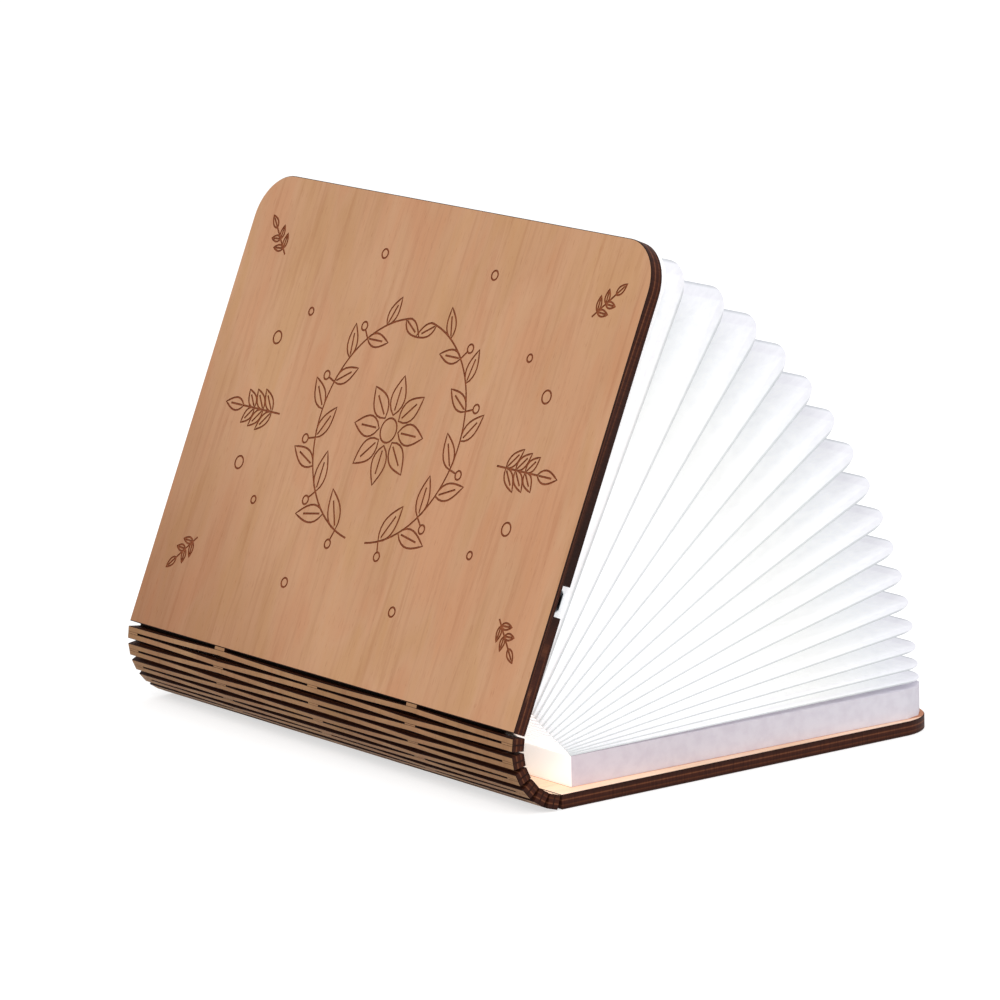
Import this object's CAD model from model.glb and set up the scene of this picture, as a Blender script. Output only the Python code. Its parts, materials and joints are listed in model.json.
"""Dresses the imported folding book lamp: laser-cut plywood covers and spine, and a lit paper fan.

Places and sizes are in millimetres in this script and turn to metres in shape().
"Shut" places are those in the shut book, where covers and pages lie flat; a move then carries
them to the open lamp that the frame shows.
"""

import json
import math
from typing import NamedTuple

import bmesh
import bpy
import numpy as np
from mathutils import Matrix, Vector
from mathutils.geometry import delaunay_2d_cdt


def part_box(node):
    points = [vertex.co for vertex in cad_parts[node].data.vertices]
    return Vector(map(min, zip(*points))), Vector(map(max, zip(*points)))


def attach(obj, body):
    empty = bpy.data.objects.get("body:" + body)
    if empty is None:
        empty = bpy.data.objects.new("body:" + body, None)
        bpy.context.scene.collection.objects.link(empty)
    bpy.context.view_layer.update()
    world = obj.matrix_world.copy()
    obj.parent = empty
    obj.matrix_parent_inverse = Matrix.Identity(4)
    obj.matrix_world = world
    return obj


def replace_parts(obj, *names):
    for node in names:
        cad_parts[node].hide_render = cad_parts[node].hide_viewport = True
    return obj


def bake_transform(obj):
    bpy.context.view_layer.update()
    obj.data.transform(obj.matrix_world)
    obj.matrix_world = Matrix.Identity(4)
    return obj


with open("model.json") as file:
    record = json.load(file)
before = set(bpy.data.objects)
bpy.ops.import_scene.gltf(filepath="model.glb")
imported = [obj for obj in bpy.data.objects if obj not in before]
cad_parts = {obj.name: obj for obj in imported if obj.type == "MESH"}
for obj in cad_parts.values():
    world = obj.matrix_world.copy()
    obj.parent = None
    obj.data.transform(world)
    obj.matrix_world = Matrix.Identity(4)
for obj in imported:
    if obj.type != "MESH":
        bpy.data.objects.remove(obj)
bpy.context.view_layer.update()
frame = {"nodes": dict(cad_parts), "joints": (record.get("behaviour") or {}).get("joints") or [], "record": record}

MM = 0.001

# ---------------------------------------------------------------- sizes, read from the frame

joints = {joint["name"]: joint for joint in frame["joints"]}
ratios = {c["joint"]: c["ratio"] for c in frame["record"]["behaviour"]["couplings"]}
SLATS, PAGES = 6, 15
slat_names = [f"slat_{k}" for k in range(1, SLATS + 1)]
page_names = [f"page_{j:02d}" for j in range(1, PAGES + 1)]
spine_chain = ["back_cover", *slat_names, "front_cover"]
fold_turn = -joints["fold"]["range_deg"][0]  # degrees that each spine hinge opened from the shut book


def joint_place(name):
    x, _, z = joints[name]["pos_m"]
    return np.array([x, 0, z]) / MM


spine_hinges = [joint_place(f"spine_hinge_{k}") for k in range(1, SLATS + 1)] + [joint_place("fold")]
page_joints = [f"page_hinge_{j:02d}" for j in range(1, PAGES + 2)]
page_hinges = [None] + [joint_place(name) for name in page_joints]  # page j turns on hinge j
page_steps = [0] + [fold_turn * ratios[name] for name in page_joints]


def node_box(name):
    low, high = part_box(name)
    return np.array(low) / MM, np.array(high) / MM


board_low, board_high = node_box("back_board")
BOARD_T = board_high[2] - board_low[2]
HALF_H = board_high[1]
FORE_X = board_high[0]
CORNER_R = 16  # of the covers at the fore-edge
HINGE_X = spine_hinges[0][0]
HINGE_PLAY = 0.1  # between two slats in the shut book
SLAT_PITCH = float(np.linalg.norm(spine_hinges[1] - spine_hinges[0]))
REST_BEND = math.degrees(math.acos(float(np.dot(
    spine_hinges[1] - spine_hinges[0], spine_hinges[2] - spine_hinges[1])) / SLAT_PITCH**2))
SHUT_BEND = REST_BEND + fold_turn
KERF = BOARD_T * math.tan(math.radians(SHUT_BEND / 2)) + HINGE_PLAY
SPINE_X = HINGE_X + KERF / 2  # the covers' square edge along the spine
block_low, block_high = node_box("base_cover")
ROOT_X, PAGE_X = block_low[0], block_high[0]  # a page's root and its fore-edge
RIM_Y = block_high[1]  # a page's half height at its fore-edge
ROOT_Y = RIM_Y - 3  # and at its root
BLOCK_TOP = block_high[2]


# ---------------------------------------------------------------- moves

def turn(place, degrees):
    """A turn about a hinge line along Y, from +X towards +Z."""
    place = Vector(place)
    return np.array(Matrix.Translation(place) @ Matrix.Rotation(math.radians(-degrees), 4, "Y")
                    @ Matrix.Translation(-place))


def carried(move, points):
    points = np.asarray(points, float)
    return points @ move[:3, :3].T + move[:3, 3]


page_moves = [np.eye(4)]
for hinge, step in zip(page_hinges[1:], page_steps[1:]):
    page_moves.append(turn(hinge, step) @ page_moves[-1])
front_move = np.eye(4)
for hinge in spine_hinges:
    front_move = turn(hinge, fold_turn) @ front_move
shut_hinge = carried(np.linalg.inv(front_move), [spine_hinges[-1]])[0]
INNER_FRONT = shut_hinge[2] - BOARD_T / 2  # height of the front cover's inner face in the shut book


def smooth(t):
    t = np.clip(t, 0, 1)
    return t * t * (3 - 2 * t)


# ---------------------------------------------------------------- materials

def colour(hex_value, alpha=1.0):
    """An sRGB hex value as Blender's linear colour."""
    channels = [int(hex_value[i:i + 2], 16) / 255 for i in (1, 3, 5)]
    return tuple(c / 12.92 if c <= 0.04045 else ((c + 0.055) / 1.055) ** 2.4 for c in channels) + (alpha,)


def add(tree, kind, wires=None, stops=None, **settings):
    """Adds a node with its settings, its input values or links, and a ramp's stops."""
    made = tree.nodes.new("ShaderNode" + kind)
    for name, value in settings.items():
        setattr(made, name, value)
    for socket, value in (wires or {}).items():
        if isinstance(value, bpy.types.NodeSocket):
            tree.links.new(value, made.inputs[socket])
        else:
            made.inputs[socket].default_value = value
    if stops:
        ramp = made.color_ramp.elements
        ramp.remove(ramp[1])
        ramp[0].position, ramp[0].color = stops[0][0], colour(stops[0][1])
        for place, shade in stops[1:]:
            ramp.new(place).color = colour(shade)
    return made


def surface(name, roughness, metallic=0.0, base="#FFFFFF", **sockets):
    """A new material and its Principled shader."""
    material = bpy.data.materials.new(name)
    material.use_nodes = True
    tree = material.node_tree
    shader = tree.nodes["Principled BSDF"]
    shader.inputs["Roughness"].default_value = roughness
    shader.inputs["Metallic"].default_value = metallic
    shader.inputs["Base Color"].default_value = colour(base)
    for socket, value in sockets.items():
        shader.inputs[socket.replace("_", " ")].default_value = value
    return material, tree, shader


# The meshes' own values that materials read
SHUT_MM = "shut_mm"  # a point's place in the shut book, so that grain stays with the wood
CUT_MM = "cut_mm"  # a point's place along a cut, and up through the plywood
PAGE_MM = "page_mm"  # share of the way to the fore-edge, and distance in from a page's rim


def mesh_value(tree, name):
    """One of those values, by its name."""
    return add(tree, "Attribute", attribute_name=name).outputs["Vector"]


def parts_of(tree, vector):
    return add(tree, "SeparateXYZ", {0: vector}).outputs


def reckon(tree, operation, first, second=0.0):
    """A number worked out from one or two others."""
    return add(tree, "Math", {0: first, 1: second}, operation=operation).outputs[0]


def span(tree, value, start=0.0, end=1.0, first=0.0, last=1.0):
    """first where value is start, last where it is end, and evenly between."""
    return add(tree, "MapRange", {"Value": value, "From Min": start, "From Max": end,
                                  "To Min": first, "To Max": last}).outputs[0]


def shades(tree, value, *stops):
    """The shade that a value picks from stops of (value, hex colour)."""
    return add(tree, "ValToRGB", {0: value}, stops=stops).outputs[0]


def noise(tree, place, detail, scale=1.0, stretch=None, **more):
    """Noise over a place, which stretch multiplies along each axis."""
    if stretch:
        place = add(tree, "VectorMath", {0: place, 1: stretch}, operation="MULTIPLY").outputs[0]
    return add(tree, "TexNoise", {"Vector": place, "Scale": scale, "Detail": detail, **more}).outputs["Fac"]


def product(tree, first, second, share=1.0):
    """One colour times another, at some share."""
    return add(tree, "Mix", {0: share, 6: first, 7: second}, data_type="RGBA", blend_type="MULTIPLY").outputs[2]


def mixed(tree, share, first, second):
    """The first colour, turned towards the second by a share."""
    return add(tree, "Mix", {0: share, 6: first, 7: second}, data_type="RGBA").outputs[2]


def uneven(tree, shader, height, strength, distance):
    """Gives a surface the relief of a height; distance is in metres."""
    relief = add(tree, "Bump", {"Strength": strength, "Distance": distance, "Height": height})
    tree.links.new(relief.outputs[0], shader.inputs["Normal"])


def glowing(tree, shader, shade, strength):
    """Makes a surface give off light of a shade."""
    tree.links.new(shade, shader.inputs["Emission Color"])
    tree.links.new(strength, shader.inputs["Emission Strength"])


def basswood_face(name, tones, glow=None, heart=None):
    """Basswood plywood, sanded and oiled: a pale even veneer with slow changes of tone, faint streaks
    along the width of the book and short fine pores. heart is the shade of the darker heartwood
    towards the head of the spine. With glow, the lamp lights the wood near the spine, as far as glow
    millimetres from the hinge line."""
    material, tree, shader = surface(name, 0.55, Specular_IOR_Level=0.2)
    place = mesh_value(tree, SHUT_MM)
    x, y, _ = parts_of(tree, place)

    def grain(stretch, detail, distortion=0.0):
        return noise(tree, place, detail, 1.0, stretch, Roughness=0.55, Distortion=distortion)

    blotch = grain((0.014, 0.045, 0.05), 3.0, 0.8)  # blotches 20 mm wide and 70 mm long
    hue = grain((0.021, 0.06, 0.08), 2.0, 0.5)
    streak = grain((0.02, 0.42, 0.4), 4.0, 0.5)  # streaks 2 mm wide
    pore = grain((0.22, 2.4, 2.0), 2.0)  # pores 4 mm long and 0.4 mm wide
    tone = shades(tree, blotch, (0.32, tones[0]), (0.5, tones[1]), (0.68, tones[2]))
    tint = shades(tree, hue, (0.35, "#FFF7F4"), (0.5, "#FFFFFF"), (0.65, "#FBFAF0"))
    lines = shades(tree, streak, (0.3, "#F2E8E0"), (0.5, "#FFFFFF"), (0.7, "#FFFBF5"))
    pores = shades(tree, pore, (0.26, "#DFC6B2"), (0.38, "#FFFFFF"))
    wood = product(tree, tone, tint)
    wood = product(tree, wood, lines, 0.8)
    wood = product(tree, wood, pores, 0.6)
    if heart:
        to_corner = reckon(tree, "MULTIPLY", reckon(tree, "SUBTRACT", y, x), 0.005)
        wood = product(tree, wood, shades(tree, to_corner, (0.35, "#FFFFFF"), (1.0, heart)))
    if glow:
        # How far a point lies outside the block's outline, which narrows towards its root
        block_edge = span(tree, x, ROOT_X, PAGE_X, ROOT_Y, RIM_Y)
        beyond = reckon(tree, "SUBTRACT", reckon(tree, "ABSOLUTE", y), block_edge)
        before = reckon(tree, "SUBTRACT", ROOT_X, x)
        gap = reckon(tree, "MAXIMUM", beyond, before)
        seam = shades(tree, gap, (0.0, "#B98A6C"), (0.4, "#C9977A"), (0.75, "#FFFFFF"))  # its glued edge
        wood = product(tree, wood, seam)
        shader.inputs["Emission Color"].default_value = colour("#FFE9C8")
        near = span(tree, x, HINGE_X, HINGE_X + glow, 0.34, 0.04)
        tree.links.new(near, shader.inputs["Emission Strength"])
    tree.links.new(wood, shader.inputs["Base Color"])
    uneven(tree, shader, streak, 0.1, 0.0001)
    return material


def laser_cut_edge(name):
    """Plywood's edge as a laser leaves it: charred dark brown, with the paler glue line of the core
    veneer showing through and fine marks of the beam across the thickness."""
    material, tree, shader = surface(name, 0.6, Specular_IOR_Level=0.12)
    place = mesh_value(tree, CUT_MM)
    up = span(tree, parts_of(tree, place)["Z"], 0.0, BOARD_T)
    plies = shades(tree, up, (0.0, "#2E140B"), (0.2, "#411D10"), (0.28, "#5E331E"), (0.36, "#38180F"),
                   (0.56, "#462013"), (0.63, "#7A4A30"), (0.7, "#3F1C11"), (1.0, "#29120A"))
    beam = noise(tree, place, 4.0, 1.0, (1.6, 1.6, 0.12), Roughness=0.65)
    marks = shades(tree, beam, (0.3, "#A08A80"), (0.6, "#FFFFFF"))
    tree.links.new(product(tree, plies, marks, 0.8), shader.inputs["Base Color"])
    uneven(tree, shader, beam, 0.3, 0.0002)
    return material


def laser_engraving(name):
    """Basswood that the laser has scorched: a reddish brown line with uneven burn."""
    material, tree, shader = surface(name, 0.7, Specular_IOR_Level=0.2)
    burn = noise(tree, mesh_value(tree, SHUT_MM), 3.0, 1.4)
    tree.links.new(shades(tree, burn, (0.3, "#7A3D21"), (0.7, "#9C5834")), shader.inputs["Base Color"])
    return material


def page_paper(name, tones, root_glow, fore_glow):
    """Spun-bonded paper with light behind it: cool and faintly mottled at the fore-edge, white where
    the lamp is near, with a thin grey line along each rim and a soft shade down in the folds."""
    material, tree, shader = surface(name, 0.75, Specular_IOR_Level=0.15)
    outward, inward, _ = parts_of(tree, mesh_value(tree, PAGE_MM))
    tone = shades(tree, outward, *tones)
    across = shades(tree, span(tree, inward, 0.0, FOLD_DEPTH),
                    (0.0, "#D4D7D8"), (0.018, "#DCDEDF"), (0.045, "#FAFAFB"), (0.17, "#FAF9FB"),
                    (0.2, "#FFFFFF"), (0.55, "#FEFEFE"), (1.0, "#F1F3F3"))
    fibre = noise(tree, mesh_value(tree, SHUT_MM), 5.0, 0.35, Roughness=0.6)
    mottle = shades(tree, fibre, (0.3, "#F8F8F9"), (0.65, "#FFFFFF"))
    paper = product(tree, product(tree, tone, across), mottle)
    tree.links.new(product(tree, paper, colour("#ECECEC")), shader.inputs["Base Color"])
    glowing(tree, shader, paper, span(tree, outward, first=root_glow, last=fore_glow))
    return material


def root_lining(name):
    """Dark book cloth glued over the roots of the pages. It stops short of the head and tail, where
    the white paper shows and the lamp lights it warmly."""
    material, tree, shader = surface(name, 0.8, Specular_IOR_Level=0.15)
    from_middle = reckon(tree, "ABSOLUTE", parts_of(tree, mesh_value(tree, SHUT_MM))["Y"])
    bare = span(tree, from_middle, LINING_END, LINING_END + 2)
    shade = shades(tree, bare, (0.0, "#1E1815"), (1.0, "#FFFFFF"))
    tree.links.new(shade, shader.inputs["Base Color"])
    glowing(tree, shader, shade, span(tree, bare, last=0.5))
    return material


def dark_cloth(name):
    """Black book cloth: woven cotton, matt, with its threads just showing."""
    material, tree, shader = surface(name, 0.85, Specular_IOR_Level=0.1)
    place = add(tree, "TexCoord").outputs["Object"]
    weave = noise(tree, place, 2.0, 2000.0)  # threads 0.5 mm apart
    tree.links.new(shades(tree, weave, (0.35, "#14100E"), (0.65, "#262019")), shader.inputs["Base Color"])
    return material


RIM_W = 4.4  # glued rim where a page's two sheets meet
PLEAT_W = 20  # from the glued rim to the fold between two pages
FOLD_DEPTH = RIM_W + PLEAT_W
LINING_END = 75  # from the middle of the spine to where the roots' lining starts to end

WOOD = basswood_face("oiled_basswood", ["#C99872", "#CD9C77", "#D1A17C"], heart="#D2C4BA")
SPINE_WOOD = basswood_face("oiled_basswood_of_the_spine", ["#9F7652", "#A97E5A", "#B28963"])
INNER_WOOD = basswood_face("basswood_lit_by_the_lamp", ["#F0C8AB", "#F4D0B6", "#F7D9C4"], glow=60)
EDGE = laser_cut_edge("laser_cut_plywood_edge")
ENGRAVED = laser_engraving("laser_engraved_basswood")
PAPER = page_paper("spun_bonded_page_paper", [(0.0, "#FFFFFF"), (0.45, "#FDFDFD"), (0.7, "#F8F8F7"),
                                              (0.88, "#F2F3F4"), (1.0, "#EDEDF1")], 0.31, 0.3)
LINING = root_lining("book_cloth_over_the_page_roots")
CLOTH = dark_cloth("black_book_cloth")


# ---------------------------------------------------------------- meshes

def shape(name, points, faces, materials, shut=None, page=None, cut=None, face_materials=None, sharp=40):
    """A mesh object from points in millimetres. shut, page and cut are its materials' own values."""
    mesh = bpy.data.meshes.new(name)
    mesh.from_pydata((np.asarray(points) * MM).tolist(), [], [list(map(int, f)) for f in faces])
    made = bpy.data.objects.new(name, mesh)
    bpy.context.scene.collection.objects.link(made)
    for material in materials:
        mesh.materials.append(material)
    if face_materials is not None:
        mesh.polygons.foreach_set("material_index", np.asarray(face_materials, np.int32))
    for title, values in ((SHUT_MM, shut), (CUT_MM, cut), (PAGE_MM, page)):
        if values is not None:
            mesh.attributes.new(title, "FLOAT_VECTOR", "POINT").data.foreach_set(
                "vector", np.asarray(values, np.float32).ravel())
    faced = bmesh.new()
    faced.from_mesh(mesh)
    bmesh.ops.recalc_face_normals(faced, faces=faced.faces)
    faced.to_mesh(mesh)
    faced.free()
    mesh.polygons.foreach_set("use_smooth", [True] * len(mesh.polygons))
    mesh.set_sharp_from_angle(angle=math.radians(sharp))
    return made


def thin_solid(name, front, back, materials, **values):
    """A closed thin solid between two grids of points of one size (rows, columns, 3)."""
    rows, columns = front.shape[:2]
    loop = np.concatenate([front, back[::-1]])  # rows of the front, then rows of the back, all round
    count = len(loop)
    faces = []
    for r in range(count):
        for c in range(columns - 1):
            a, b = r * columns + c, (r + 1) % count * columns + c
            faces.append((a, a + 1, b + 1, b))
    for side in (0, columns - 1):
        for r in range(rows - 1):
            a, b = r * columns + side, (r + 1) * columns + side
            c, d = (count - 2 - r) * columns + side, (count - 1 - r) * columns + side
            faces.append((a, b, c, d))
    return shape(name, loop.reshape(-1, 3), faces, materials, **values)


# ---------------------------------------------------------------- covers

CORNER_STEPS = 14
ARRIS = 0.25  # width of the softened edge between a face and the cut
ENGRAVED_DEPTH = 0.3
LINE_W = 0.7  # width of an engraved line
WREATH_X, WREATH_R = 84, 38  # the wreath's middle from the hinge line, and its radius


def heading_ray(angle):
    """One step along a heading in radians."""
    return np.array([math.cos(angle), math.sin(angle)])


def board_outline(inset):
    """A cover's outline in the shut book, counterclockwise, square at the spine."""
    points = [(SPINE_X + inset, -HALF_H + inset)]
    for side in (-1, 1):
        centre = np.array([FORE_X - CORNER_R, side * (HALF_H - CORNER_R)])
        for k in range(CORNER_STEPS + 1):
            angle = math.radians(90 * (k / CORNER_STEPS - (1 if side < 0 else 0)))
            points.append(centre + (CORNER_R - inset) * heading_ray(angle))
    points.append((SPINE_X + inset, HALF_H - inset))
    return np.array(points, float)


# The engraved design is a list of strokes, each a path in millimetres and whether it is closed

def leaf(base, heading, length, width, steps=9):
    """The outline of a pointed leaf, and its midrib."""
    t = np.linspace(0, 1, steps)
    side = width / 2 * np.sin(np.pi * t**0.8)
    along = heading_ray(heading)
    across = np.array([-along[1], along[0]])
    middle = np.asarray(base) + np.outer(t * length, along)
    outline = np.concatenate([middle + np.outer(side, across), (middle - np.outer(side, across))[-2:0:-1]])
    midrib = middle[0] + np.outer([length * 0.12, length * 0.72], along)
    return [(outline, True), (midrib, False)]


def on_circle(centre, radius, angles):
    return np.asarray(centre) + radius * np.stack([np.cos(angles), np.sin(angles)], 1)


def ring(centre, radius, steps):
    return [(on_circle(centre, radius, np.linspace(0, 2 * math.pi, steps, endpoint=False)), True)]


BERRY_OUT, BERRY_R = 5.2, 1.5  # a berry's centre from its stem, and its radius


def garland(centre, radius, start, end, leaves):
    """A leafy stem bent along part of a circle, with leaves on both sides and berries between."""
    strokes = [(on_circle(centre, radius, np.radians(np.linspace(start, end, 40))), False)]
    onward = 1 if end > start else -1
    for k in range(leaves):
        angle = math.radians(start + (end - start) * (k + 0.7) / leaves)
        away = heading_ray(angle)
        base = np.asarray(centre) + radius * away
        tangent = angle + onward * math.pi / 2
        outward = 1 if k % 2 else -1
        size = 15 - 5 * k / leaves  # the leaves get smaller along the stem
        strokes += leaf(base, tangent - onward * outward * math.radians(42), size, size * 0.42)
        if k % 2 == 0 and k < leaves - 1:
            strokes += [(np.array([base, base + (BERRY_OUT - BERRY_R) * away]), False)]
            strokes += ring(base + BERRY_OUT * away, BERRY_R, 14)
    return strokes


def sprig(base, heading, length, pairs):
    """A straight stem with pairs of leaves and one at its tip."""
    along = heading_ray(heading)
    base = np.asarray(base, float)
    tip = base + along * length * 0.7
    strokes = [(np.array([base, tip]), False)]
    strokes += leaf(tip, heading, length * 0.34, length * 0.15)
    for k in range(pairs):
        spot = base + along * length * (0.16 + 0.5 * k / pairs)
        for side in (-1, 1):
            strokes += leaf(spot, heading + side * math.radians(48), length * (0.32 - 0.03 * k), length * 0.13)
    return strokes


def blossom(centre, petals, inner, length, width):
    """Petals round a small ring."""
    strokes = ring(centre, inner * 0.8, 24)
    for k in range(petals):
        heading = 2 * math.pi * k / petals
        strokes += leaf(np.asarray(centre) + inner * heading_ray(heading), heading, length, width)
    return strokes


def engraved_strokes():
    """The engraved design, seen from outside: a wreath with a blossom, and sprigs round it."""
    middle = np.array([HINGE_X + WREATH_X, 0])
    strokes = blossom(middle, petals=8, inner=5.2, length=13.5, width=7.2)
    for start, end in ((-172, -8), (172, 8)):
        strokes += garland(middle, WREATH_R, start, end, leaves=11)
    for side in (-1, 1):
        strokes += sprig(middle + (-3, side * 60), side * math.pi / 2, length=30, pairs=3)
        for way in (-1, 1):
            towards_corner = math.atan2(-side, -way) + math.pi
            strokes += sprig(middle + (way * 50, side * 84), towards_corner, length=17, pairs=2)
            for x, y, radius, steps in ((22, 74, 2.2, 18), (33, 60, 1.3, 14), (57, 30, 1.6, 16)):
                strokes += ring(middle + (way * x, side * y), radius, steps)
    return strokes


def groove_outline(path, closed):
    """The outline of the groove that a stroke cuts: one loop round an open stroke, two for a ring."""
    before, after = np.roll(path, 1, 0), np.roll(path, -1, 0)
    if not closed:
        before[0], after[-1] = path[0], path[-1]
    tangent = after - before
    tangent /= np.linalg.norm(tangent, axis=1)[:, None]
    across = LINE_W / 2 * np.stack([-tangent[:, 1], tangent[:, 0]], 1)
    if closed:
        return [path + across, path - across]
    return [np.concatenate([path + across, (path - across)[::-1]])]


def in_grooves(points, strokes):
    """Which points lie within half a line's width of a stroke."""
    starts = np.concatenate([path if closed else path[:-1] for path, closed in strokes])
    ends = np.concatenate([np.roll(path, -1, 0) if closed else path[1:] for path, closed in strokes])
    run = ends - starts
    length2 = (run**2).sum(1)
    inside = np.zeros(len(points), bool)
    batch = 2000  # points at a time, to save memory
    for first in range(0, len(points), batch):
        some = points[first:first + batch]
        away = some[:, None] - starts[None]
        t = np.clip((away * run[None]).sum(2) / length2, 0, 1)
        gap2 = ((away - t[..., None] * run[None]) ** 2).sum(2).min(1)
        inside[first:first + batch] = gap2 < (LINE_W / 2 * 1.001) ** 2
    return inside


def triangulated(loops):
    """Points and triangles that fill the first loop and keep every loop's edges."""
    places, edges = [], []
    for loop in loops:
        first = len(places)
        places += [Vector(p) for p in loop]
        edges += [(first + k, first + (k + 1) % len(loop)) for k in range(len(loop))]
    flat, _, triangles, _, _, _ = delaunay_2d_cdt(places, edges, [], 0, 1e-5)
    return np.array([tuple(p) for p in flat]), np.array([t for t in triangles if len(t) == 3])


TOP, CUT, GROOVE, UNDERSIDE = range(4)  # a cover's kinds of face, in the order of its materials


def cover(name, bottom, strokes=()):
    """A cover in the shut book, its lower face at height bottom. Strokes are engraved in its top."""
    outline, edge = board_outline(ARRIS), board_outline(0)
    count = len(outline)
    grooves = [loop for path, closed in strokes for loop in groove_outline(path, closed)]
    flat, triangles = triangulated([outline, *grooves])
    sunk = in_grooves(flat[triangles].mean(1), strokes) if strokes else np.zeros(len(triangles), bool)
    top = bottom + BOARD_T
    points = [(x, y, top) for x, y in flat]
    faces, kinds = [], []
    floor_of = {}  # the point on a groove's floor under each point of the top that has one
    for triangle, low in zip(triangles, sunk):
        if low:
            for v in triangle:
                if v not in floor_of:
                    floor_of[v] = len(points)
                    points.append((*flat[v], top - ENGRAVED_DEPTH))
            faces.append([floor_of[v] for v in triangle])
        else:
            faces.append(list(triangle))
        kinds.append(GROOVE if low else TOP)
    # The grooves' walls stand on the edges between a sunk triangle and one that isn't
    sides = {}
    for triangle, low in zip(triangles, sunk):
        for a, b in zip(triangle, np.roll(triangle, -1)):
            sides.setdefault((min(a, b), max(a, b)), []).append(low)
    for (a, b), lows in sides.items():
        if len(lows) == 2 and lows[0] != lows[1]:
            faces.append([a, b, floor_of[b], floor_of[a]])
            kinds.append(GROOVE)
    # The rim of the top face, found again among the triangulated points
    rim = [int(np.argmin(((flat - p) ** 2).sum(1))) for p in outline]
    rings = [rim]
    for loop, height in ((edge, top - ARRIS), (edge, bottom + ARRIS), (outline, bottom)):
        rings.append(list(range(len(points), len(points) + count)))
        points += [(x, y, height) for x, y in loop]
    for upper, lower in zip(rings, rings[1:]):
        for k in range(count):
            faces.append([upper[k], upper[(k + 1) % count], lower[(k + 1) % count], lower[k]])
            kinds.append(CUT)
    faces.append(rings[-1][::-1])
    kinds.append(UNDERSIDE)
    points = np.array(points, float)
    return shape(name, points, faces, [WOOD, EDGE, ENGRAVED, INNER_WOOD], shut=points,
                 cut=points - [0, 0, bottom], face_materials=kinds, sharp=25)


def cut_away(piece, cutters):
    """Takes the cutters' shapes out of a piece and deletes them."""
    for cutter in cutters:
        change = piece.modifiers.new("cut", "BOOLEAN")
        change.object, change.operation, change.solver = cutter, "DIFFERENCE", "EXACT"
        bpy.context.view_layer.update()
        graph = bpy.context.evaluated_depsgraph_get()
        mesh = bpy.data.meshes.new_from_object(piece.evaluated_get(graph))
        piece.modifiers.clear()
        piece.data = mesh
        bpy.data.objects.remove(cutter)


def block(name, low, high, materials):
    """A box between two corners."""
    points = [(x, y, z) for x in (low[0], high[0]) for y in (low[1], high[1]) for z in (low[2], high[2])]
    faces = [(0, 1, 3, 2), (4, 6, 7, 5), (0, 4, 5, 1), (2, 3, 7, 6), (0, 2, 6, 4), (1, 5, 7, 3)]
    return shape(name, points, faces, materials, shut=points, cut=points)


back_cover = cover("back_cover_plywood", 0)
back_cover.data.materials[TOP], back_cover.data.materials[UNDERSIDE] = INNER_WOOD, WOOD
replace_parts(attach(back_cover, "back_cover"), "back_board")

# The pocket for battery and control board in the front cover's inner face, and the notch in its edge
# round the charging socket. Distances along X are from the hinge line.
POCKET_X, POCKET_Y, POCKET_D = (28.3, 86.3), (-103.5, -21.4), 3.1
NOTCH_X, NOTCH_W = 44.3, 10.2
PAST = 1  # how far a cutter reaches beyond what it cuts
front_cover = cover("front_cover_plywood", INNER_FRONT, engraved_strokes())
cut_low, cut_high = INNER_FRONT - PAST, INNER_FRONT + POCKET_D
cut_away(front_cover, [
    block("pocket_cutter", (HINGE_X + POCKET_X[0], POCKET_Y[0], cut_low),
          (HINGE_X + POCKET_X[1], POCKET_Y[1], cut_high), [INNER_WOOD]),
    block("notch_cutter", (HINGE_X + NOTCH_X - NOTCH_W / 2, -HALF_H - PAST, cut_low),
          (HINGE_X + NOTCH_X + NOTCH_W / 2, POCKET_Y[0] + PAST, cut_high), [EDGE])])
front_cover.matrix_world = Matrix(
    (np.diag([MM, MM, MM, 1]) @ front_move @ np.diag([1 / MM, 1 / MM, 1 / MM, 1])).tolist())
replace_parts(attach(front_cover, "front_cover"), "front_board")


# ---------------------------------------------------------------- spine

SLIT_W = 0.5  # the laser's cut along the middle of a slat, at its ends
LAND = 5.5  # uncut wood at the ends and in the middle of a slat, and at the hinge bridges
BRIDGE_GAP = 0.4  # what is left of the hinge cut beside a bridge
LAP = 0.05  # how far a land or bridge reaches into the strips beside it
LAND_IN, BRIDGE_IN = 0.01, 0.17  # how far their faces lie below the slats'
SHAVED = 0.3  # off a strip's outer face where it is twisted most, to stay inside the slats' outline
STRIP_W = SLAT_PITCH / 2 - KERF / 2 - SLIT_W / 2
STRIP_STEPS = 12
CLOTH_W, CLOTH_T = 2.2, 0.2  # a cloth strip's half width, and its thickness
CLOTH_GAP = 0.05  # between cloth and wood
CLOTH_END = 10  # how far the cloth stops short of the tail
quarter = HALF_H / 2  # from the middle of the spine to its bridges


def slat_frame(k):
    """Slat k's own axes: from its first hinge line to its second, along the spine, and outward."""
    start, end = spine_hinges[k - 1], spine_hinges[k]
    across = (end - start) / SLAT_PITCH
    return start, across, np.array([-across[2], 0, across[0]])


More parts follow.
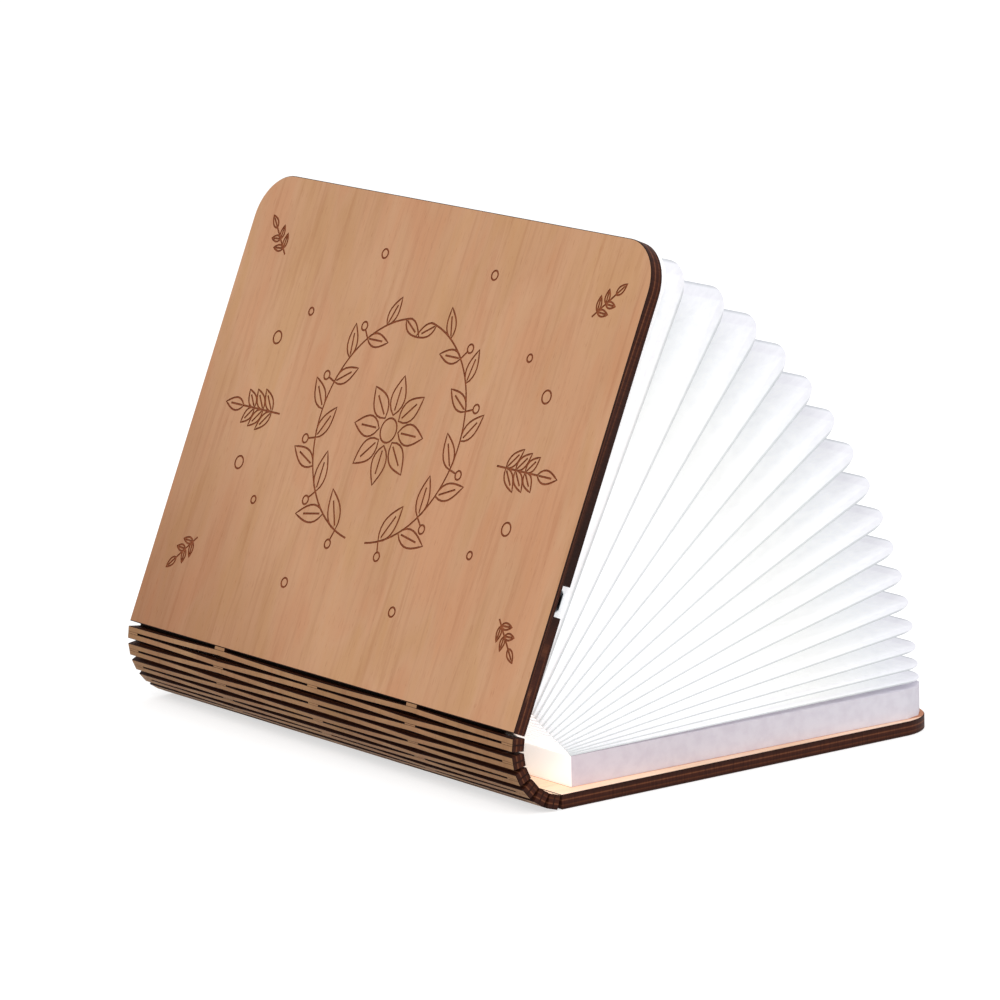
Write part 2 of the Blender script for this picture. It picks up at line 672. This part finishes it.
def strip(k, towards, y_land, y_bridge, title):
    """A quarter of one half of slat k. It twists from the slat's own angle at its land to halfway to
    the neighbour's at the bridge, as the sawn wood does."""
    start, across, outward = slat_frame(k)
    hinge = spine_hinges[k - 1] if towards < 0 else spine_hinges[k]
    landed = y_land + math.copysign(LAND if abs(y_land) > quarter else LAND / 2, y_bridge - y_land)
    along = np.concatenate([[y_land], np.linspace(landed, y_bridge, STRIP_STEPS)])
    half_t, soft = BOARD_T / 2, 0.15  # soft is the width of the strip's softened edges
    profile = [(0, half_t - soft), (soft, half_t), (STRIP_W - soft, half_t), (STRIP_W, half_t - soft),
               (STRIP_W, -half_t + soft), (STRIP_W - soft, -half_t), (soft, -half_t), (0, -half_t + soft)]
    rows, shut_rows, cut_rows = [], [], []
    for y in along:
        w = float(smooth((y - landed) / (2 * (y_bridge - landed))))
        inner = KERF / 2 - (KERF - BRIDGE_GAP) * w
        move = turn(hinge, -towards * w * REST_BEND)
        ring_points = []
        for u, v in profile:
            v = min(v, half_t - SHAVED * w)
            from_hinge = inner + u
            u_slat = from_hinge if towards < 0 else SLAT_PITCH - from_hinge
            ring_points.append(start + across * u_slat + outward * v + [0, y, 0])
            shut_rows.append((HINGE_X - k * SLAT_PITCH + u_slat, y, v))
            cut_rows.append((y, 0, v + half_t))
        rows.append(carried(move, ring_points))
    count = len(profile)
    points = np.concatenate(rows)
    faces, kinds = [], []
    for r in range(len(along) - 1):
        for c in range(count):
            a, b = r * count + c, r * count + (c + 1) % count
            faces.append((a, b, b + count, a + count))
            kinds.append({1: 0, 5: 2}.get(c, 1))  # the profile's sides 1 and 5 are its outer and inner face
    faces += [list(range(count - 1, -1, -1)), [len(points) - count + c for c in range(count)]]
    kinds += [1, 1]
    made = shape(f"slat_{k}_strip_{title}", points, faces, [SPINE_WOOD, EDGE, INNER_WOOD], shut=shut_rows,
                 cut=cut_rows, face_materials=kinds, sharp=30)
    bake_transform(made)
    return made


def bar(name, middle, across, outward, half_w, half_t, ends, shut_x, move=np.eye(4)):
    """A straight bar of uncut wood along the spine, between two ends."""
    corners = [middle + across * u + outward * v + [0, y, 0] for y in ends
               for u, v in ((-half_w, half_t), (half_w, half_t), (half_w, -half_t), (-half_w, -half_t))]
    faces = [(0, 1, 5, 4), (1, 2, 6, 5), (2, 3, 7, 6), (3, 0, 4, 7), (3, 2, 1, 0), (4, 5, 6, 7)]
    shut = [(shut_x, y, 0) for y in ends for _ in range(4)]
    return shape(name, carried(move, corners), faces, [SPINE_WOOD, EDGE], shut=shut, cut=shut,
                 face_materials=[0, 1, 0, 1, 1, 1])


def land(k, low, high, title):
    """Uncut wood that joins the two halves of slat k."""
    start, across, outward = slat_frame(k)
    made = bar(f"slat_{k}_land_{title}", start + across * SLAT_PITCH / 2, across, outward, SLIT_W / 2 + LAP,
               BOARD_T / 2 - LAND_IN, (low, high), HINGE_X - (k - 0.5) * SLAT_PITCH)
    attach(made, spine_chain[k])


def bridge(h, side):
    """Uncut wood across hinge line h, halfway between its neighbours' angles."""
    _, across, outward = slat_frame(max(h, 1))
    hinge, y = spine_hinges[h], side * quarter
    halfway = turn(hinge, -REST_BEND / 2 if h else REST_BEND / 2)
    half_w = KERF / 2 + ARRIS if h in (0, SLATS) else BRIDGE_GAP / 2 + LAP
    title = "tail" if side < 0 else "head"
    made = bar(f"hinge_{h + 1}_bridge_{title}", hinge, across, outward, half_w, BOARD_T / 2 - BRIDGE_IN,
               (y - LAND / 2, y + LAND / 2), HINGE_X - h * SLAT_PITCH, halfway)
    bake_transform(made)


def hinge_cloth(h):
    """Dark book cloth glued along the inside of hinge line h. It keeps the light in."""
    _, across, outward = slat_frame(h)
    hinge = spine_hinges[h]
    halfway = turn(hinge, -REST_BEND / 2)
    lean = math.tan(math.radians(REST_BEND / 2))
    layers = []
    for deep in (CLOTH_GAP, CLOTH_GAP + CLOTH_T):
        rows = [[hinge + across * u - outward * (BOARD_T / 2 + abs(u) * lean + deep) + [0, y, 0]
                 for y in (-HALF_H + CLOTH_END, 0, HALF_H)] for u in (-CLOTH_W, 0, CLOTH_W)]
        layers.append(np.array([carried(halfway, row) for row in rows]))
    made = thin_solid(f"hinge_{h + 1}_cloth", *layers, [CLOTH])
    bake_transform(made)


for h in range(2, SLATS + 1):
    hinge_cloth(h)
for k in range(1, SLATS + 1):
    pieces = []
    for towards, half_name in ((-1, "first"), (1, "second")):
        for y_land, y_bridge, title in ((-HALF_H, -quarter, "tail"), (0, -quarter, "low"),
                                        (0, quarter, "high"), (HALF_H, quarter, "head")):
            pieces.append(strip(k, towards, y_land, y_bridge, f"{half_name}_{title}"))
    land(k, -HALF_H, -HALF_H + LAND, "tail")
    land(k, -LAND / 2, LAND / 2, "middle")
    land(k, HALF_H - LAND, HALF_H, "head")
    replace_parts(pieces[0], f"spine_slat_{k}")
for h in range(SLATS + 1):
    bridge(h, -1)
    bridge(h, 1)


# ---------------------------------------------------------------- pages

PAGE_PITCH = 0.35  # a page's share of the stack's height in the shut book
SHEET_T = 0.14  # of one sheet of paper
PAGE_R = 12  # of a page's corners at the fore-edge
ROOT_PAPER_T = 0.25  # of the lining over the roots
ARC_STEPS = 7
SIDE_STEPS, FORE_STEPS, PLEAT_STEPS = 25, 17, 8  # along a page's side, its fore-edge and inwards
WALL_STEPS = 60
slant = (RIM_Y - ROOT_Y) / (PAGE_X - ROOT_X)  # of a page's sides, which draw in towards the root
slant_n = math.hypot(1, slant)
SIDE_HEADING = 90 + math.degrees(math.atan(slant))
MITRE_HEADING = SIDE_HEADING / 2
RIM_ROWS = 3  # the first depths, which lie on the glued rim
depths = np.array([0, RIM_W * 0.5, RIM_W, *(RIM_W + PLEAT_W * np.linspace(0, 1, PLEAT_STEPS + 1)[1:])])


def corner_arc(depth, first, last):
    """Points round a page's corner at one depth from the rim, between two headings in degrees."""
    radius = PAGE_R * (1 - depth / FOLD_DEPTH)
    centre = np.array([PAGE_X, RIM_Y]) - (depth + radius) * np.array([1, slant_n + slant])
    return on_circle(centre, radius, np.radians(np.linspace(first, last, ARC_STEPS)))


def side_band(side):
    """The band along the tail or head of a page: rows of (x, y) by depth, from the root to the mitre."""
    rows = []
    for depth in depths:
        arc = corner_arc(depth, SIDE_HEADING, MITRE_HEADING)
        x = np.linspace(ROOT_X, arc[0][0], SIDE_STEPS + 1)[:-1]
        y = ROOT_Y + slant * (x - ROOT_X) - depth * slant_n
        row = np.concatenate([np.stack([x, y], 1), arc])
        rows.append(row * [1, side])
    return np.array(rows)


def fore_band():
    """The band along the fore-edge: rows of (x, y) by depth, from mitre to mitre."""
    rows = []
    for depth in depths:
        arc = corner_arc(depth, MITRE_HEADING, 0)
        y = np.linspace(-arc[-1][1], arc[-1][1], FORE_STEPS + 1)[1:-1]
        rows.append(np.concatenate([arc * [1, -1], np.stack([np.full(len(y), arc[-1][0]), y], 1), arc[::-1]]))
    return np.array(rows)


class Band(NamedTuple):
    """A band of a page along one of its sides, from the rim to the fold."""
    title: str
    side: int  # -1 at the tail, 1 at the head, 0 at the fore-edge
    flat: np.ndarray  # rows of (x, y) by depth
    inward: np.ndarray


class Sheet(NamedTuple):
    """One of a page's two sheets, which turns from its page's angle at the rim towards a neighbour's."""
    height: float  # in the stack, in pages
    up: int  # which way it faces
    low: int  # the page below the hinge that it crosses
    start_t: float  # how far it has turned at the rim
    per_mm: float  # how much it turns for each millimetre inwards

    @property
    def way(self):
        return "upper" if self.up > 0 else "lower"


side_inward = np.array([slant, -1, 0]) / slant_n
bands = [Band("tail", -1, side_band(-1), side_inward * [1, -1, 1]),
         Band("head", 1, side_band(1), side_inward),
         Band("fore", 0, fore_band(), np.array([-1.0, 0, 0]))]


def page_height(j):
    return BLOCK_TOP + (j - 0.5) * PAGE_PITCH


def at_height(flat, height):
    return np.concatenate([flat, np.full(flat.shape[:2] + (1,), height, float)], 2)


def between(low, share):
    """The move that carries a page share of the way from page low to the next one."""
    return turn(page_hinges[low + 1], page_steps[low + 1] * float(share)) @ page_moves[low]


def turned(low, shares, points):
    """Points, each carried its own share of the way from page low to the next one."""
    moved = [carried(between(low, share), [p])[0]
             for share, p in zip(np.ravel(shares), points.reshape(-1, 3))]
    return np.array(moved).reshape(points.shape)


def both_faces(values):
    """Values at the points of a thin solid's front, given to its back as well."""
    return np.concatenate([values, values[::-1]]).reshape(-1, 3)


def sheet_piece(name, part, band, rows=None, ending=""):
    """One sheet of a page along one side, or some rows of it. At the glued rim it keeps its page's own
    angle. Further in it turns towards the neighbour's, until it meets the neighbour's sheet at the
    fold. A piece that is all rim turns by one share, so its blend runs across the page and far beyond."""
    flat = band.flat if rows is None else band.flat[rows]
    height = page_height(part.height)
    origin = np.array([PAGE_X, RIM_Y * band.side, 0])
    depth = (at_height(flat, 0) - origin) @ band.inward
    turning = depth if rows is None else np.broadcast_to(depths[rows][:, None], depth.shape)
    share = smooth(part.start_t + part.per_mm * np.maximum(turning - RIM_W, 0))
    layers = [turned(part.low, share, at_height(flat, height + part.up * offset)) for offset in (SHEET_T, 0)]
    outward = np.clip((flat[..., 0] - ROOT_X) / (PAGE_X - ROOT_X), 0, 1)
    made = thin_solid(f"{name}_{part.way}_{band.title}{ending}", *layers, [PAPER],
                      shut=both_faces(at_height(flat, height)),
                      page=both_faces(np.stack([outward, depth, 0 * depth], 2)))
    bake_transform(made)
    return made


def root_wall(name, part):
    """The lining over one sheet's root, from its page to the fold."""
    low = part.low
    y = np.linspace(-ROOT_Y, ROOT_Y, WALL_STEPS + 1)
    depth = np.clip(ROOT_Y - np.abs(y) - RIM_W, 0, PLEAT_W)
    reached = smooth(part.start_t + part.per_mm * depth)
    rim_share = float(smooth(part.start_t))
    grids = []
    for back in (0, -ROOT_PAPER_T):
        rows = []
        for step in np.linspace(0, 1, 4):
            share = rim_share + (reached - rim_share) * step
            # The first page stands only half a page's share above the block's top
            z = page_height(low) + share * PAGE_PITCH if low else BLOCK_TOP + share * PAGE_PITCH / 2
            rows.append(turned(low, share, np.stack([np.full(len(y), ROOT_X + back), y, z], 1)))
        grids.append(np.array(rows))
    shut = np.tile(np.stack([np.full(len(y), ROOT_X), y, np.full(len(y), page_height(low))], 1), (8, 1))
    wall = thin_solid(f"{name}_{part.way}_root", *grids, [LINING], shut=shut)
    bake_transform(wall)


HALF_FOLD = 0.5 / PLEAT_W  # turns a sheet halfway to its neighbour at the fold
LAST_PAGE = 0.7  # how far the last page has turned towards the light panel
LAST_T, LAST_FOLD_T = 0.635, 0.397  # where smooth() reaches LAST_PAGE and half of it
pages = [(name, [Sheet(j, -1, j - 1, 1, -HALF_FOLD if j > 1 else -1 / PLEAT_W),
                 Sheet(j, 1, j, 0, HALF_FOLD if j < PAGES else LAST_FOLD_T / PLEAT_W)])
         for j, name in enumerate(page_names, 1)]
# The last page stands between its neighbour and the light panel, to which it is glued
pages.append(("front_end_leaf", [
    Sheet(PAGES + LAST_PAGE, -1, PAGES, LAST_T, (LAST_FOLD_T - LAST_T) / PLEAT_W),
    Sheet(PAGES + LAST_PAGE, 1, PAGES, LAST_T, (1 - LAST_T) / PLEAT_W)]))
for name, sheets in pages:
    made = []
    for part in sheets:
        for band in bands:
            if 0 < part.start_t < 1:  # the rim itself has turned, so it is a piece of its own
                made.append(sheet_piece(name, part, band, slice(0, RIM_ROWS), "_rim"))
                made.append(sheet_piece(name, part, band, slice(RIM_ROWS - 1, None)))
            else:
                made.append(sheet_piece(name, part, band))
        root_wall(name, part)
    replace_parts(made[0], name)


def glued_leaf():
    """The last sheet, glued flat on the light panel."""
    tail, fore, head = side_band(-1)[0], fore_band()[0], side_band(1)[0]
    outline = np.concatenate([tail[:-1], fore[:-1], head[::-1]])
    count = len(outline)
    z = page_height(PAGES + 1)
    points = np.concatenate([np.column_stack([outline, np.full(count, z + t)]) for t in (0, SHEET_T)])
    faces = [[k, (k + 1) % count, count + (k + 1) % count, count + k] for k in range(count)]
    faces += [list(range(count - 1, -1, -1)), list(range(count, 2 * count))]
    made = shape("leaf_glued_to_the_panel", carried(page_moves[-1], points), faces, [PAPER], shut=points,
                 page=np.tile([0.5, FOLD_DEPTH / 2, 0], (2 * count, 1)))
    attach(made, "end_leaf")


glued_leaf()


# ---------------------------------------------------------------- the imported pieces' own finishes

def plain(name, base, roughness, metallic=0.0, grain=0.0, glow=0.0, **sockets):
    """A finish with fine unevenness in its shade."""
    material, tree, shader = surface(name, roughness, metallic, base, **sockets)
    speckle = noise(tree, add(tree, "TexCoord").outputs["Object"], 3.0, 900.0)
    darker = tuple(c * (1 - grain) for c in colour(base)[:3]) + (1,)
    tree.links.new(mixed(tree, speckle, colour(base), darker), shader.inputs["Base Color"])
    if glow:
        shader.inputs["Emission Color"].default_value = colour(base)
        shader.inputs["Emission Strength"].default_value = glow
    return material


def block_paper(name):
    """Coated paper round the base block, cool grey in the shade and glowing warm where it faces the
    spine. Its places are in metres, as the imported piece's are."""
    material, tree, shader = surface(name, 0.6, Specular_IOR_Level=0.3)
    place = add(tree, "TexCoord").outputs["Object"]
    x, _, z = parts_of(tree, place)
    tone = shades(tree, span(tree, x, ROOT_X * MM, PAGE_X * MM),
                  (0.0, "#DDD2DA"), (0.3, "#DAD3DB"), (1.0, "#E2DFE8"))
    fibres = shades(tree, noise(tree, place, 4.0, 260.0), (0.3, "#F6F4F6"), (0.6, "#FFFFFF"))  # 4 mm long
    facing = span(tree, x, (ROOT_X + 0.05) * MM, (ROOT_X + 0.3) * MM, 1.0, 0.0)
    paper = mixed(tree, facing, product(tree, tone, fibres), colour("#FFFFFF"))
    tree.links.new(paper, shader.inputs["Base Color"])
    warm = shades(tree, span(tree, z, BOARD_T * MM, BLOCK_TOP * MM),
                  (0.0, "#FFEBD8"), (0.35, "#FFFBF6"), (1.0, "#FFFFFF"))
    glowing(tree, shader, warm, span(tree, facing, last=0.45))
    return material


finishes = {
    "base_core": plain("white_card", "#F4F2F0", 0.8, grain=0.05),
    "base_cover": block_paper("coated_cover_paper"),
    "back_magnets": plain("nickel_plated_magnet", "#C4C2BD", 0.25, 1.0, grain=0.05),
    "battery": plain("aluminium_laminate_pouch", "#BFC3C8", 0.4, 0.9, grain=0.08),
    "battery_lead": plain("red_silicone_lead", "#B3262A", 0.45, grain=0.05),
    "control_board": plain("green_solder_mask", "#1E6A45", 0.35, grain=0.15),
    "control_chips": plain("black_epoxy_package", "#1E1F22", 0.5, grain=0.2),
    "socket_shell": plain("stamped_stainless_shell", "#C9CBCE", 0.28, 1.0, grain=0.06),
    "socket_tongue": plain("black_nylon_tongue", "#191A1C", 0.5, grain=0.2),
    "reed_switch": plain("green_tinted_glass", "#93A39C", 0.08, grain=0.02),
    "panel_lead": plain("white_silicone_lead", "#DCDCDA", 0.45, grain=0.04),
    "light_panel": plain("white_solder_mask_panel", "#F3F3F0", 0.4, grain=0.03),
    "light_chips": plain("phosphor_light_chip", "#FFE9A8", 0.3, grain=0.05, glow=1.0),
    "diffuser": plain("opal_acrylic", "#F4F5F8", 0.4, grain=0.02, glow=0.25),
}
finishes["switch_magnet"] = finishes["front_magnets"] = finishes["back_magnets"]
for node_name, material in finishes.items():
    mesh = frame["nodes"][node_name].data
    mesh.materials.clear()
    mesh.materials.append(material)


# ---------------------------------------------------------------- stage, light and camera

FLOOR_GLOW = 0.62  # lifts the floor to full white where it is seen
ROOM_LIGHT = 0.72  # the white room's strength as a light


def seen_by(tree, *rays):
    """1 where the ray is of one of these kinds, else 0."""
    path = add(tree, "LightPath").outputs
    seen = path[rays[0]]
    for ray in rays[1:]:
        seen = reckon(tree, "MAXIMUM", seen, path[ray])
    return seen


def stage_floor():
    """A pale floor that renders white and keeps the lamp's shadow."""
    bpy.ops.mesh.primitive_plane_add(size=12, location=(0, 0, -0.0002))
    floor = bpy.context.object
    floor.name = "studio_floor"
    material, tree, shader = surface("white_studio_floor", 0.9, base="#CCCCCC", Specular_IOR_Level=0.0)
    shader.inputs["Emission Color"].default_value = colour("#FFFFFF")
    lift = reckon(tree, "MULTIPLY", seen_by(tree, "Is Camera Ray", "Is Glossy Ray"), FLOOR_GLOW)
    tree.links.new(lift, shader.inputs["Emission Strength"])
    floor.data.materials.append(material)


def studio_world():
    """A plain white room: full white where it is seen, dimmer as a light."""
    world = bpy.data.worlds.new("white_studio")
    bpy.context.scene.world = world
    world.use_nodes = True
    tree = world.node_tree
    back = tree.nodes["Background"]
    back.inputs["Color"].default_value = (1, 1, 1, 1)
    seen = seen_by(tree, "Is Camera Ray", "Is Transmission Ray", "Is Glossy Ray")
    tree.links.new(span(tree, seen, first=ROOM_LIGHT), back.inputs["Strength"])


def aimed(place, aim):
    """The matrix of a lamp or camera that looks from one place at another."""
    place, aim = Vector(place), Vector(aim)
    return Matrix.Translation(place) @ (aim - place).to_track_quat("-Z", "Y").to_matrix().to_4x4()


def soft_lamp(name, place, aim, size, power):
    data = bpy.data.lights.new(name, "AREA")
    data.size, data.energy = size, power
    lamp = bpy.data.objects.new(name, data)
    lamp.matrix_world = aimed(place, aim)
    bpy.context.scene.collection.objects.link(lamp)


stage_floor()
studio_world()
soft_lamp("window_light", (-1.0, -1.2, 1.3), (0, 0, 0.08), 0.9, 13)
soft_lamp("fill_light", (0.9, -1.4, 0.9), (0, 0, 0.05), 1.2, 5)

# The camera that matches the photograph's corners of both covers
EYE, AIM = (-1.2220, -1.5897, 0.4874), (-0.0211, -0.0002, 0.0751)
ROLL = math.radians(-1.19)
LENS = 220.35
camera_data = bpy.data.cameras.new("photo_camera")
camera_data.sensor_width, camera_data.lens = 36, LENS
camera_data.clip_end = 30
camera = bpy.data.objects.new("photo_camera", camera_data)
camera.matrix_world = aimed(EYE, AIM) @ Matrix.Rotation(ROLL, 4, "Z")
bpy.context.scene.collection.objects.link(camera)
bpy.context.scene.camera = camera
bpy.context.scene.view_settings.view_transform = "Standard"
